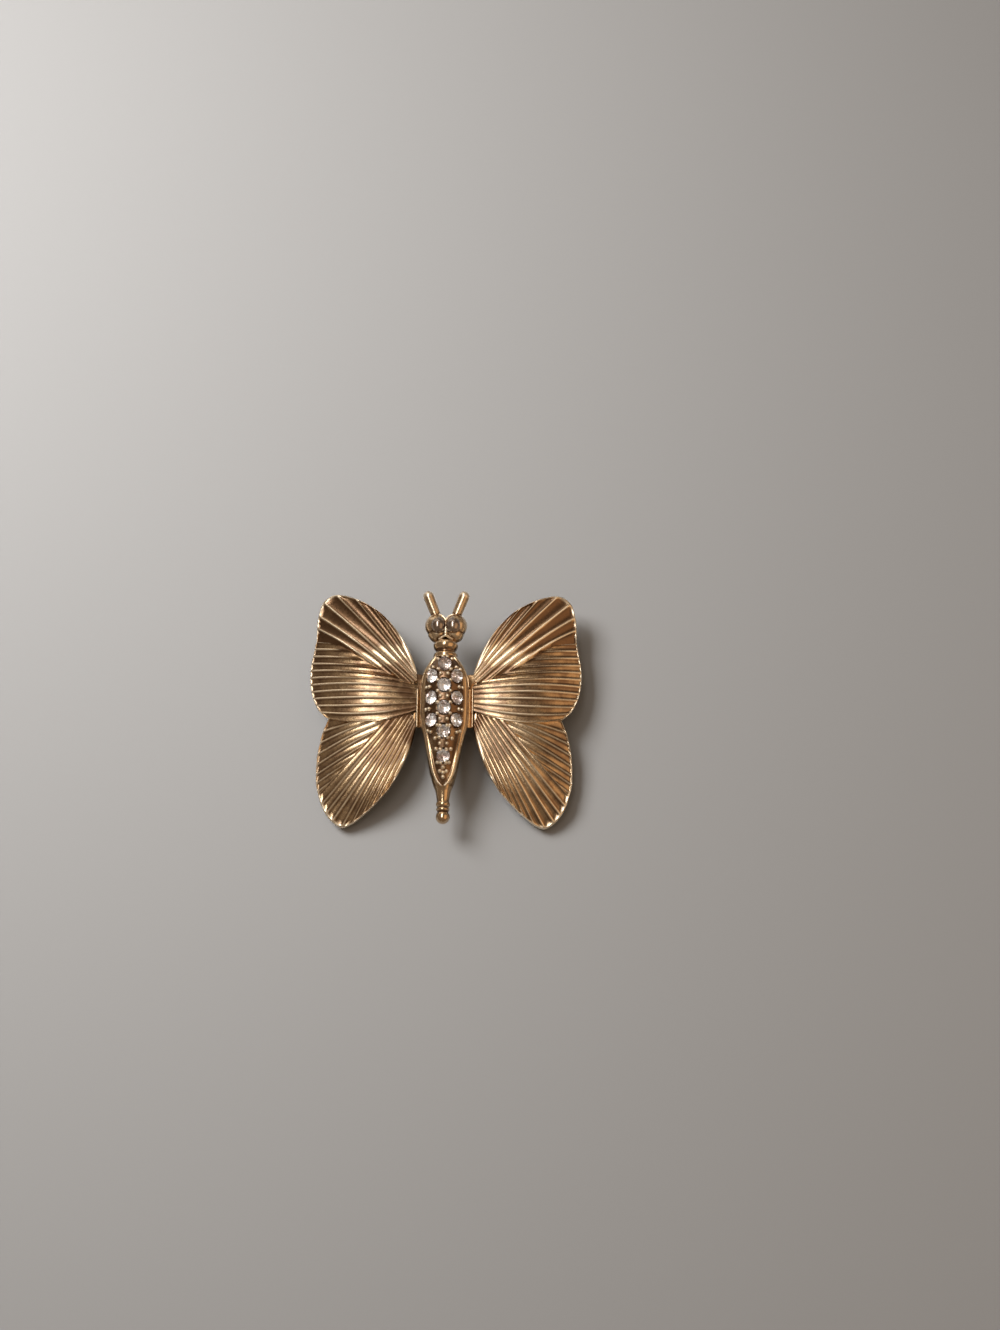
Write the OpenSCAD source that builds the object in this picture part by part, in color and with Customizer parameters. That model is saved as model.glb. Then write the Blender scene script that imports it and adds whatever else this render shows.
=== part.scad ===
// Butterfly brooch: a cast wing plate, a cast body set with eleven round stones,
// and a plain pin back. Millimetres. It lies on its back as it does on a table:
// +X to the wearer's left wing tip, +Y towards the head, +Z up from the table.

/* [Wings] */
// Span over both forewings
wing_span = 40.6; // [40:0.1:44]
// Distance from the middle to where a wing starts, beside the body
wing_root = 4.25; // [4.25:0.05:4.6]
// Distance from the middle to the crest of the arched wing
wing_crest = 10.4; // [9:0.1:12]
// Thickness of the casting
wing_t = 1.2; // [1.1:0.05:1.6]
// Rise of the crest above the margin
wing_rise = 2.4; // [1.5:0.1:3]
// Part of the rise that is lost again at the root
root_fall = 0.25; // [0:0.05:0.4]
// Depth of a flute as a share of the distance between its two ribs
flute_share = 0.2; // [0.1:0.01:0.25]
// Deepest flute
flute_max = 0.38; // [0.2:0.01:0.4]

/* [Body] */
// Height of the body's flat underside
body_floor = 2.26; // [2.26:0.02:2.4]
// Depth of the sunk field that holds the stones
field_depth = 0.35; // [0.2:0.05:0.45]
// Half width of the flange that meets the wing roots
flange_x = 4.18; // [4:0.02:4.18]
// Radius of the small beads between the stones
grain_r = 0.28; // [0.26:0.02:0.3]

/* [Stones] */
// Radius of a stone at its girdle
stone_r = 1; // [0.9:0.02:1]
// Height of the crown above the girdle
crown_h = 0.36; // [0.25:0.01:0.4]
// Depth of the pavilion below the girdle
pavilion_h = 0.72; // [0.6:0.02:0.74]
// Angle from the crest to the side rows of stones
side_angle = 35; // [33:1:37]

/* [Head] */
// Radius of an eye
eye_r = 1.14; // [1:0.02:1.2]
// Distance from the middle to an eye
eye_x = 1.25; // [1.2:0.05:1.4]
// Radius of an antenna at its tip
antenna_r = 0.84; // [0.75:0.01:0.9]

/* [Pin back] */
// Place of the pin along the body
pin_y = 4.6; // [4.2:0.1:4.6]
// Length of the pin stem
pin_len = 21; // [18:1:24]
// Radius of the pin stem
pin_r = 0.4; // [0.35:0.05:0.45]

/* [Rest] */
// Lean of the brooch on the table, from the hindwing tips up to the pin
rest_tilt = 5; // [5:0.5:7]

/* [Hidden] */
// Air left between two pieces of metal
gap = 0.06;
// Height of the body's axis above the wing margins
axis_z = 3.4;
// Steps across one flute on the top and on the plain underside, and stations along a rib
flute_steps = 4;
under_steps = 2;
rib_stations = [0, 0.1, 0.22, 0.36, 0.5, 0.64, 0.78, 0.9, 0.97, 1];
// What is left of a flute's depth at the margin
margin_flute = 0.4;

// The ribs of one wing, a row for each, from its leading edge round to the body.
// Columns: root x, root y, margin x, margin y, bow to the left of that line.
upper_fore_ribs = [
  [4.25, 6.2, 9.7, 15.0, 0.75],
  [4.25, 5.9, 11.3, 16.25, 0.2],
  [4.25, 5.4, 13.9, 17.7, 0],
  [4.25, 4.9, 16.9, 18.45, 0],
  [4.8, 4.6, 18.8, 17.35, 0],
  [6.4, 4.7, 19.45, 15.2, 0.3],
  [8.6, 5.2, 19.6, 13.25, 0.4],
  [9.8, 5.3, 19.6, 10.5, 0.3]
];
lower_fore_ribs = [
  [16.3, 10.4, 19.6, 11.0, 0],
  [14.4, 9.3, 19.8, 9.9, 0],
  [12.6, 8.0, 20.0, 8.8, 0],
  [10.4, 6.7, 20.2, 7.7, 0],
  [7.6, 5.4, 20.3, 6.6, 0.1],
  [4.25, 4.1, 20.3, 5.5, 0.2],
  [4.25, 3.5, 20.2, 4.4, 0.2],
  [4.25, 2.8, 20.0, 3.3, 0.1],
  [4.25, 2.1, 19.7, 2.25, -0.1],
  [4.25, 1.4, 19.2, 1.15, -0.4],
  [4.25, 0.8, 18.5, 0.1, -0.8],
  [4.25, 0.2, 17.3, -0.95, -1.15]
];
outer_hind_ribs = [
  [10.4, -0.6, 17.2, -0.9, 0],
  [9.9, -0.8, 18.0, -2.8, 0.1],
  [9.2, -0.9, 18.4, -4.5, 0.1],
  [8.8, -1.3, 18.7, -6.2, 0.1],
  [8.9, -2.3, 18.8, -7.8, 0.1],
  [9.8, -3.9, 18.8, -9.2, 0],
  [11.1, -5.7, 18.75, -10.5, 0],
  [12.7, -7.8, 18.5, -11.7, 0],
  [14.9, -10.3, 18.1, -12.8, 0]
];
main_hind_ribs = [
  [7.4, 0.6, 18.35, -12.2, -0.3],
  [6.6, 0.5, 17.85, -13.7, -0.3],
  [6.0, 0.4, 17.15, -15.0, -0.3],
  [5.5, 0.2, 16.2, -16.1, -0.2],
  [5.1, -0.1, 14.8, -16.9, 0],
  [4.8, -0.5, 13.3, -16.4, 0],
  [4.6, -0.9, 11.9, -15.4, 0],
  [4.4, -1.3, 10.6, -14.3, -0.1],
  [4.3, -1.8, 9.4, -13.1, -0.3],
  [4.25, -2.35, 8.2, -11.8, -0.6]
];
// How far each fan lies below the wing's own surface.
// Columns: first rib at its root, last at its root, first at the margin, last there.
upper_fore_drop = [0, 0.4, 0, 0.45];
lower_fore_drop = [0, 0, 0, 0];
outer_hind_drop = [0.5, 0.5, 0.45, 0.35];
main_hind_drop = [0.35, 0.35, 0.15, 0];
// Extra depth of each fan's underside, so that no two of them lie in one surface
under_step = 0.08;
// The wing falls away in front of this line and behind that one
fore_fold_y = 12;
fore_fold_len = 11;
hind_fold_y = -6;
hind_fold_len = 11;

// The body from its neck to its tail.
// Columns: place along the body, radius, half width of the sunk field there.
body_sections = [
  [8.1, 1.85, 1.3],
  [7.2, 2.45, 1.95],
  [6.1, 3.02, 2.5],
  [4.9, 3.4, 2.85],
  [3.2, 3.54, 3.0],
  [1.2, 3.56, 3.04],
  [-0.8, 3.52, 3.0],
  [-2.3, 3.4, 2.88],
  [-3.6, 3.05, 2.5],
  [-5.7, 2.62, 2.05],
  [-8.3, 2.2, 1.5],
  [-9.5, 1.94, 1.1],
  [-10.6, 1.62, 0.5],
  [-11.3, 1.38, 0.05]
];
// Turned rings, columns: place along the body, radius.
collar_rings = [
  [10.7, 1.4],
  [10.45, 1.7],
  [10.0, 1.85],
  [9.55, 1.75],
  [9.2, 1.5],
  [8.95, 1.48],
  [8.7, 1.72],
  [8.4, 1.8]
];
tail_rings = [
  [-11.9, 1.14],
  [-12.8, 0.96],
  [-13.4, 0.88],
  [-13.55, 0.98],
  [-13.8, 1.04],
  [-14.05, 0.96],
  [-14.2, 0.84],
  [-14.35, 0.94],
  [-14.55, 0.98],
  [-14.75, 0.86]
];
tail_ball_y = -15.6;
tail_ball_r = 1.02;
// Places along the body of the middle row and of the two side rows of stones
middle_stones = [6.7, 3.25, -0.1, -3.5, -7.0];
side_stones = [4.75, 1.45, -1.85];
// Each stone: place along the body and angle from the crest
stones = concat(
  [for (y = middle_stones) [y, 0]],
  [for (y = side_stones) [y, side_angle]],
  [for (y = side_stones) [y, -side_angle]]
);
// Lean of a stone along the body, as a share of the body's own slope
stone_lean = 0.35;
// Height of the girdle over the floor of the field, and its thickness
girdle_up = 0.15;
girdle_t = 0.07;
table_r = 0.56 * stone_r;
// The grains that stand alone near the neck and where the field narrows.
// Columns: place along the body, distance from the middle line.
lone_grains = [
  [6.14, 1.88],
  [-3.55, 2.05],
  [-4.5, 1.35],
  [-6.0, 1.2],
  [-7.95, 0.95],
  [-9.2, 0.55]
];
// Grains on the middle line, and how far the pairs between two middle stones or two side
// stones stand from that line; the last is a share of a side stone's own distance
end_grains = [-8.65, -10.0];
beside_middle = 0.55;
beside_side = 2.35;
between_rows = 0.54;
// How far the tools that cut the field and the pockets reach past the metal
reach = 10;

// The head
lobe_r = 1.74;
lobe_x = 1.42;
lobe_y = 13.05;
lobe_z = axis_z + 0.1;
cheek_r = 1.5;
cheek_x = 1.2;
cheek_y = 11.95;
eye_y = 12.77;
eye_z = axis_z + 1.2;
// Each brow is a ring round its eye: thickness, clearance, lean towards the antennae,
// and how far it stands outwards, forwards and up from the eye
brow_r = 0.2;
brow_clear = 0.16;
brow_lean = 8;
brow_shift = [0.15, 0.51, -0.1];
nose_r = 0.45;
nose_y = cheek_y - 0.4;
nose_z = axis_z + 1.35;
forehead_r = 1.3;
forehead_y = lobe_y - 0.15;
antenna_root = [1.4, 14.3, 3.8];
antenna_tip = [2.65, 17.42, 4.3];
antenna_root_r = 0.72;
antenna_shaft_r = antenna_r - 0.04;

// The plate that joins the wings under the body
bridge_x = 5.4;
bridge_y = [-2, 6];
bridge_z = [1, body_floor - gap];
flange_y = [-2.3, 3.5];
flange_z = axis_z - 0.08;
// Width of the raised outer edge of the flange, and its height over the rest
flange_edge = 0.28;
flange_step = 0.26;

// The pin back
strip_w = 2.6;
strip_t = 0.45;
block_x = 2.4;
block_y = 2.2;
hook_r = 0.95;
hook_bore_r = 0.6;
hook_w = 1.6;
// Distance from the strip's end to the hook's inner face, to the stem's root and to its point
hook_in = 2.6;
root_in = 1;
point_in = 0.6;
point_len = 1.2;
point_r = 0.12;

// The hindwing's tip meets the table, and the forewing's tip is the far end of the brooch
foot = main_hind_ribs[4];
foot_z = wing_base(foot[2], foot[3]);
fore_tip = upper_fore_ribs[3];
fore_tip_z = wing_base(fore_tip[2], fore_tip[3]) - wing_t - under_step;
rest_lift = -foot[3] * sin(rest_tilt) - (foot_z - wing_t - 3 * under_step) * cos(rest_tilt);
// Middle of the brooch along Y as it lies, which becomes the origin
middle_y = ((fore_tip[3] + foot[3]) * cos(rest_tilt) - (fore_tip_z + foot_z) * sin(rest_tilt)) / 2;

// Height, in the brooch's own plane, at which a point lies the given distance over the table
function over_table(y, up) = (up - rest_lift - y * sin(rest_tilt)) / cos(rest_tilt);

gold = "#b08a4e";
gold_dark = "#8f6f3f";
steel = "#b9a272";
clear = "#e8eef2";

// A value between b and c on a smooth curve through a, b, c and d
function smooth(a, b, c, d, t) =
  b + 0.5 * t * (c - a + t * (2 * a - 5 * b + 4 * c - d + t * (3 * (b - c) + d - a)));

// A row of a table at any place between its rows
function row_at(rows, u) =
  let(n = len(rows) - 1, i = min(floor(u), n - 1), t = u - i)
  smooth(rows[max(i - 1, 0)], rows[i], rows[i + 1], rows[min(i + 2, n)], t);

// A value from a table with falling keys, straight between its rows
function look_up(rows, key, column) =
  let(i = [for (k = [0:len(rows) - 2]) if (rows[k + 1][0] <= key) k][0], a = rows[i], b = rows[i + 1])
  a[column] + (b[column] - a[column]) * (a[0] - key) / (a[0] - b[0]);

// Height of the wing's smooth surface over its margins
function wing_base(x, y) =
  let(
    outward = (x - wing_crest) / (wing_span / 2 - wing_crest),
    inward = (wing_crest - x) / (wing_crest - wing_root),
    across = 1 - (x > wing_crest ? pow(outward, 2) : root_fall * pow(inward, 2)),
    fore = pow(max(y - fore_fold_y, 0) / fore_fold_len, 2),
    hind = pow(max(hind_fold_y - y, 0) / hind_fold_len, 2)
  )
  wing_t + wing_rise * max(across, 0) * max(1 - fore - hind, 0);

// Plan position along a rib, v from 0 at its root to 1 at the margin
function rib_point(rib, v) =
  let(
    start = [rib[0], rib[1]],
    run = [rib[2], rib[3]] - start,
    side = [-run[1], run[0]] / norm(run)
  )
  start + run * v + side * rib[4] * 4 * v * (1 - v);

// Depth of the flute at place u across the fan and v along it
function flute(rows, u, v) =
  let(
    i = min(floor(u), len(rows) - 2),
    t = u - i,
    apart = norm(rib_point(rows[i], v) - rib_point(rows[i + 1], v)),
    ends = v == 1 ? margin_flute : 1
  )
  min(flute_max, flute_share * apart) * ends * 4 * t * (1 - t);

function fan_drop(drop, s, v) =
  (drop[0] * (1 - s) + drop[1] * s) * (1 - v) + (drop[2] * (1 - s) + drop[3] * s) * v;

// One fan of ribs: a closed slab with a fluted top and a plain underside
module fan(rows, drop, under) {
  flutes = len(rows) - 1;
  across = flutes * flute_steps;
  under_across = flutes * under_steps;
  ratio = flute_steps / under_steps;
  along = len(rib_stations) - 1;
  width = along + 1;
  below = (across + 1) * width;
  top = [
    for (i = [0:across], v = rib_stations)
      let(u = i / flute_steps, p = rib_point(row_at(rows, u), v))
      [p[0], p[1], wing_base(p[0], p[1]) - fan_drop(drop, u / flutes, v) - flute(rows, u, v)]
  ];
  bottom = [
    for (k = [0:under_across], v = rib_stations)
      let(p = rib_point(row_at(rows, k / under_steps), v))
      [p[0], p[1], wing_base(p[0], p[1]) - wing_t - under]
  ];
  top_faces = [
    for (i = [0:across - 1], j = [0:along - 1])
      let(a = i * width + j, b = a + width)
      each [[a, a + 1, b + 1], [a, b + 1, b]]
  ];
  bottom_faces = [
    for (k = [0:under_across - 1], j = [0:along - 1])
      let(a = below + k * width + j, b = a + width)
      each [[a, b + 1, a + 1], [a, b, b + 1]]
  ];
  margin_faces = [
    for (k = [0:under_across - 1], s = [0:ratio])
      let(low = below + k * width + along, high = (k * ratio + s) * width + along)
      s == ratio ? [low, low + width, high] : [low, high + width, high]
  ];
  root_faces = [
    for (k = [0:under_across - 1], s = [0:ratio])
      let(low = below + k * width, high = (k * ratio + s) * width)
      s == ratio ? [low, high, low + width] : [low, high, high + width]
  ];
  last_top = across * width;
  last_low = below + under_across * width;
  side_faces = [
    for (j = [0:along - 1])
      each [
        [j + 1, j, below + j],
        [j + 1, below + j, below + j + 1],
        [last_top + j, last_top + j + 1, last_low + j + 1],
        [last_top + j, last_low + j + 1, last_low + j]
      ]
  ];
  polyhedron(
    points = concat(top, bottom),
    faces = concat(top_faces, bottom_faces, margin_faces, root_faces, side_faces)
  );
}

module wing() {
  fan(upper_fore_ribs, upper_fore_drop, under_step);
  fan(lower_fore_ribs, lower_fore_drop, 0);
  fan(outer_hind_ribs, outer_hind_drop, 2 * under_step);
  fan(main_hind_ribs, main_hind_drop, 3 * under_step);
}

module bridge() {
  translate([-bridge_x, bridge_y[0], bridge_z[0]])
    cube([2 * bridge_x, bridge_y[1] - bridge_y[0], bridge_z[1] - bridge_z[0]]);
}

// Turns and lifts a piece from the brooch's own plane to how it lies on the table
module at_rest() {
  translate([0, -middle_y, rest_lift]) rotate([rest_tilt, 0, 0]) children();
}

module wings() {
  color(gold) at_rest() resize([wing_span, 0, 0]) union() {
    wing();
    mirror([1, 0, 0]) wing();
    bridge();
  }
}

// The whole spindle, revolved about the body's axis
module turned(points) {
  translate([0, 0, axis_z]) rotate([-90, 0, 0]) rotate_extrude($fn = 72) polygon(points);
}

// A profile of revolution from a table, closed along the axis
function closed_profile(rows, less) =
  concat(
    [[0, rows[0][0]]],
    [for (r = rows) [r[1] - less, r[0]]],
    [[0, rows[len(rows) - 1][0]]]
  );

module spindle() {
  turned(closed_profile(concat(collar_rings, body_sections, tail_rings), 0));
}

module field_outline() {
  linear_extrude(height = reach) polygon(concat(
    [for (r = body_sections) [r[2], r[0]]],
    [for (k = [len(body_sections) - 1:-1:0]) [-body_sections[k][2], body_sections[k][0]]]
  ));
}

// The body's metal under the sunk field
module core() {
  turned(closed_profile(body_sections, field_depth));
}

function body_radius(y) = look_up(body_sections, y, 1);
slope_step = 0.3;
function body_slope(y) = (body_radius(y + slope_step) - body_radius(y - slope_step)) / (2 * slope_step);

// Puts a piece on the body's surface at place y, turned by an angle from the crest
module on_body(y, angle, sunk, lean) {
  translate([0, y, axis_z]) rotate([0, angle, 0])
    translate([0, 0, body_radius(y) - sunk]) rotate([atan(-body_slope(y)) * lean, 0, 0]) children();
}

// Height of a stone's girdle below the body's full surface
girdle_sunk = field_depth - girdle_up;

module pocket(i) {
  depth = pavilion_h + gap;
  on_body(stones[i][0], stones[i][1], girdle_sunk, stone_lean)
    translate([0, 0, -depth]) cylinder(r = stone_r + gap / 2, h = depth + crown_h + gap, $fn = 48);
}

module grain(y, x) {
  r = body_radius(y);
  on_body(y, asin(x / r), field_depth, 0) sphere(r = grain_r, $fn = 24);
}

module grains() {
  middles = len(middle_stones);
  side_x = body_radius(side_stones[0]) * sin(side_angle);
  for (k = [0:middles - 2], x = [-beside_middle, beside_middle])
    grain((middle_stones[k] + middle_stones[k + 1]) / 2, x);
  for (k = [0:len(side_stones) - 1], m = [k, k + 1], s = [-1, 1])
    grain((side_stones[k] + middle_stones[m]) / 2, s * side_x * between_rows);
  for (k = [0:len(side_stones) - 2], s = [-1, 1])
    grain((side_stones[k] + side_stones[k + 1]) / 2, s * beside_side);
  for (g = lone_grains, s = [-1, 1]) grain(g[0], s * g[1]);
  for (y = end_grains) grain(y, 0);
}

module antenna() {
  run = antenna_tip - antenna_root;
  translate(antenna_root) rotate([0, acos(run[2] / norm(run)), atan2(run[1], run[0])])
    cylinder(r1 = antenna_root_r, r2 = antenna_shaft_r, h = norm(run), $fn = 36);
  translate(antenna_tip) sphere(r = antenna_r, $fn = 36);
}

module head_side() {
  translate([lobe_x, lobe_y, lobe_z]) sphere(r = lobe_r, $fn = 48);
  translate([cheek_x, cheek_y, axis_z]) sphere(r = cheek_r, $fn = 48);
  translate([eye_x, eye_y, eye_z]) sphere(r = eye_r, $fn = 48);
  translate([eye_x, eye_y, eye_z] + brow_shift) rotate([-brow_lean, 0, 0])
    rotate_extrude($fn = 48) translate([eye_r + brow_clear, 0]) circle(r = brow_r, $fn = 24);
  antenna();
}

module head() {
  head_side();
  mirror([1, 0, 0]) head_side();
  translate([-lobe_x, forehead_y, axis_z]) rotate([0, 90, 0])
    cylinder(r = forehead_r, h = 2 * lobe_x, $fn = 48);
  translate([0, nose_y, nose_z]) sphere(r = nose_r, $fn = 24);
}

module flange() {
  length = flange_y[1] - flange_y[0];
  translate([-flange_x, flange_y[0], body_floor])
    cube([2 * flange_x, length, flange_z - flange_step - body_floor]);
  for (x = [-flange_x, flange_x - flange_edge]) translate([x, flange_y[0], body_floor])
    cube([flange_edge, length, flange_z - body_floor]);
}

// Takes off what would lie under the body's flat underside
module trim() {
  translate([-reach, -2 * reach, body_floor - reach]) cube([2 * reach, 4 * reach, reach]);
}

module body() {
  color(gold_dark) at_rest() union() {
    difference() {
      union() {
        difference() {
          spindle();
          translate([0, 0, axis_z]) field_outline();
        }
        core();
        grains();
        flange();
        head();
      }
      for (i = [0:len(stones) - 1]) pocket(i);
      trim();
    }
    translate([0, tail_ball_y, axis_z]) sphere(r = tail_ball_r, $fn = 48);
  }
}

function on_circle(r, turn, z) = [r * cos(360 * turn), r * sin(360 * turn), z];

// A round brilliant: an eight-sided table, sixteen girdle points and a culet
module cut_stone() {
  sides = 8;
  girdle = 2 * sides;
  table = [for (k = [0:sides - 1]) on_circle(table_r, k / sides, crown_h)];
  upper = [for (k = [0:girdle - 1]) on_circle(stone_r, k / girdle, girdle_t / 2)];
  lower = [for (p = upper) [p[0], p[1], -girdle_t / 2]];
  culet = sides + 2 * girdle;
  crown = [
    for (k = [0:sides - 1])
      let(t = k, tn = (k + 1) % sides, g = sides + 2 * k, gn = sides + (2 * k + 1) % girdle,
          gp = sides + (2 * k + girdle - 1) % girdle)
      each [[t, g, gp], [t, gn, g], [t, tn, gn]]
  ];
  band = [
    for (k = [0:girdle - 1])
      let(a = sides + k, b = sides + (k + 1) % girdle)
      [a, b, b + girdle, a + girdle]
  ];
  pavilion = [
    for (k = [0:girdle - 1])
      [sides + girdle + k, sides + girdle + (k + 1) % girdle, culet]
  ];
  polyhedron(
    points = concat(table, upper, lower, [[0, 0, -pavilion_h]]),
    faces = concat([[for (k = [sides - 1:-1:0]) k]], crown, band, pavilion)
  );
}

module stone(i) {
  color(clear) at_rest() on_body(stones[i - 1][0], stones[i - 1][1], girdle_sunk, stone_lean) cut_stone();
}

// A flat strip under the wings with a hinge block, a stem and a hook, all one piece
module pin_back() {
  strip_x = pin_len / 2;
  strip_z = bridge_z[0] - gap - strip_t;
  stem_z = over_table(pin_y, hook_r);
  block_low = over_table(pin_y - block_y / 2, 0);
  hook_x = strip_x - hook_in;
  post_low = stem_z + hook_bore_r;
  color(steel) at_rest() union() {
    translate([-strip_x, pin_y - strip_w / 2, strip_z]) cube([2 * strip_x, strip_w, strip_t]);
    translate([-strip_x, pin_y - block_y / 2, block_low])
      cube([block_x, block_y, strip_z + strip_t / 2 - block_low]);
    translate([-strip_x + root_in, pin_y, stem_z]) rotate([0, 90, 0]) stem();
    translate([hook_x, pin_y, stem_z]) rotate([0, 90, 0]) hook();
    translate([hook_x, pin_y - hook_r, post_low])
      cube([hook_w, hook_r, strip_z + strip_t / 2 - post_low]);
  }
}

// The stem along +Z from its root, ending in a point
module stem() {
  straight = pin_len - root_in - point_in - point_len;
  cylinder(r = pin_r, h = straight, $fn = 36);
  translate([0, 0, straight]) cylinder(r1 = pin_r, r2 = point_r, h = point_len, $fn = 36);
}

// A ring along +Z with a mouth towards +Y that the stem drops into
module hook() {
  difference() {
    cylinder(r = hook_r, h = hook_w, $fn = 48);
    translate([0, 0, -1]) cylinder(r = hook_bore_r, h = hook_w + 2, $fn = 48);
    translate([0, 0, -1]) cube([2 * pin_r, 2 * hook_r, hook_w + 2]);
  }
}

wings();
body();
pin_back();
for (i = [1:len(stones)]) stone(i);
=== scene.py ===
import math

import bmesh
import bpy
import numpy as np
from mathutils import Matrix, Vector


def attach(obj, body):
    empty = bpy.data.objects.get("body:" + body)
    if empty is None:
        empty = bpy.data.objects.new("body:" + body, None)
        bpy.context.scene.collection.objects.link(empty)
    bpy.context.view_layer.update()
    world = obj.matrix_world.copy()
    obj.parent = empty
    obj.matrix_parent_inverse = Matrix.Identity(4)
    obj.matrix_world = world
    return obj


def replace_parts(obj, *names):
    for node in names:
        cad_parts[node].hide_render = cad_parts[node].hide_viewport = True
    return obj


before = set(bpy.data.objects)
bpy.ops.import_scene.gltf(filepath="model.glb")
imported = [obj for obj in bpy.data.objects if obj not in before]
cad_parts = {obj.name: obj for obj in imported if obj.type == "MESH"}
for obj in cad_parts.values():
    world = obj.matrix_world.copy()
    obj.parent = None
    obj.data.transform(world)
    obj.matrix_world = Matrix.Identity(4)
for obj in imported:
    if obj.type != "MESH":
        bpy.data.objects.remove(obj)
scene = bpy.context.scene
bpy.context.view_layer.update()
mm = 0.001
print("frame loaded with", len(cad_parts), "solids")

# The brooch's own plane in millimetres, and its lean on the table in degrees
plane = {
    "span": 40.6,
    "root": 4.25,           # from the middle to where a wing starts
    "crest": 10.4,          # from the middle to the crest of the arch
    "thick": 1.2,
    "rise": 2.4,            # of the crest above the margin
    "rootFall": 0.25,       # part of the rise that is lost again at the root
    "foreFold": (12, 11),   # the wing falls away past this y, over this length
    "hindFold": (-6, 11),
    "underStep": 0.08,      # between the undersides of the fans
    "axisZ": 3.4,
    "bodyFloor": 2.26,
    "tilt": 5,
}

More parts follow.
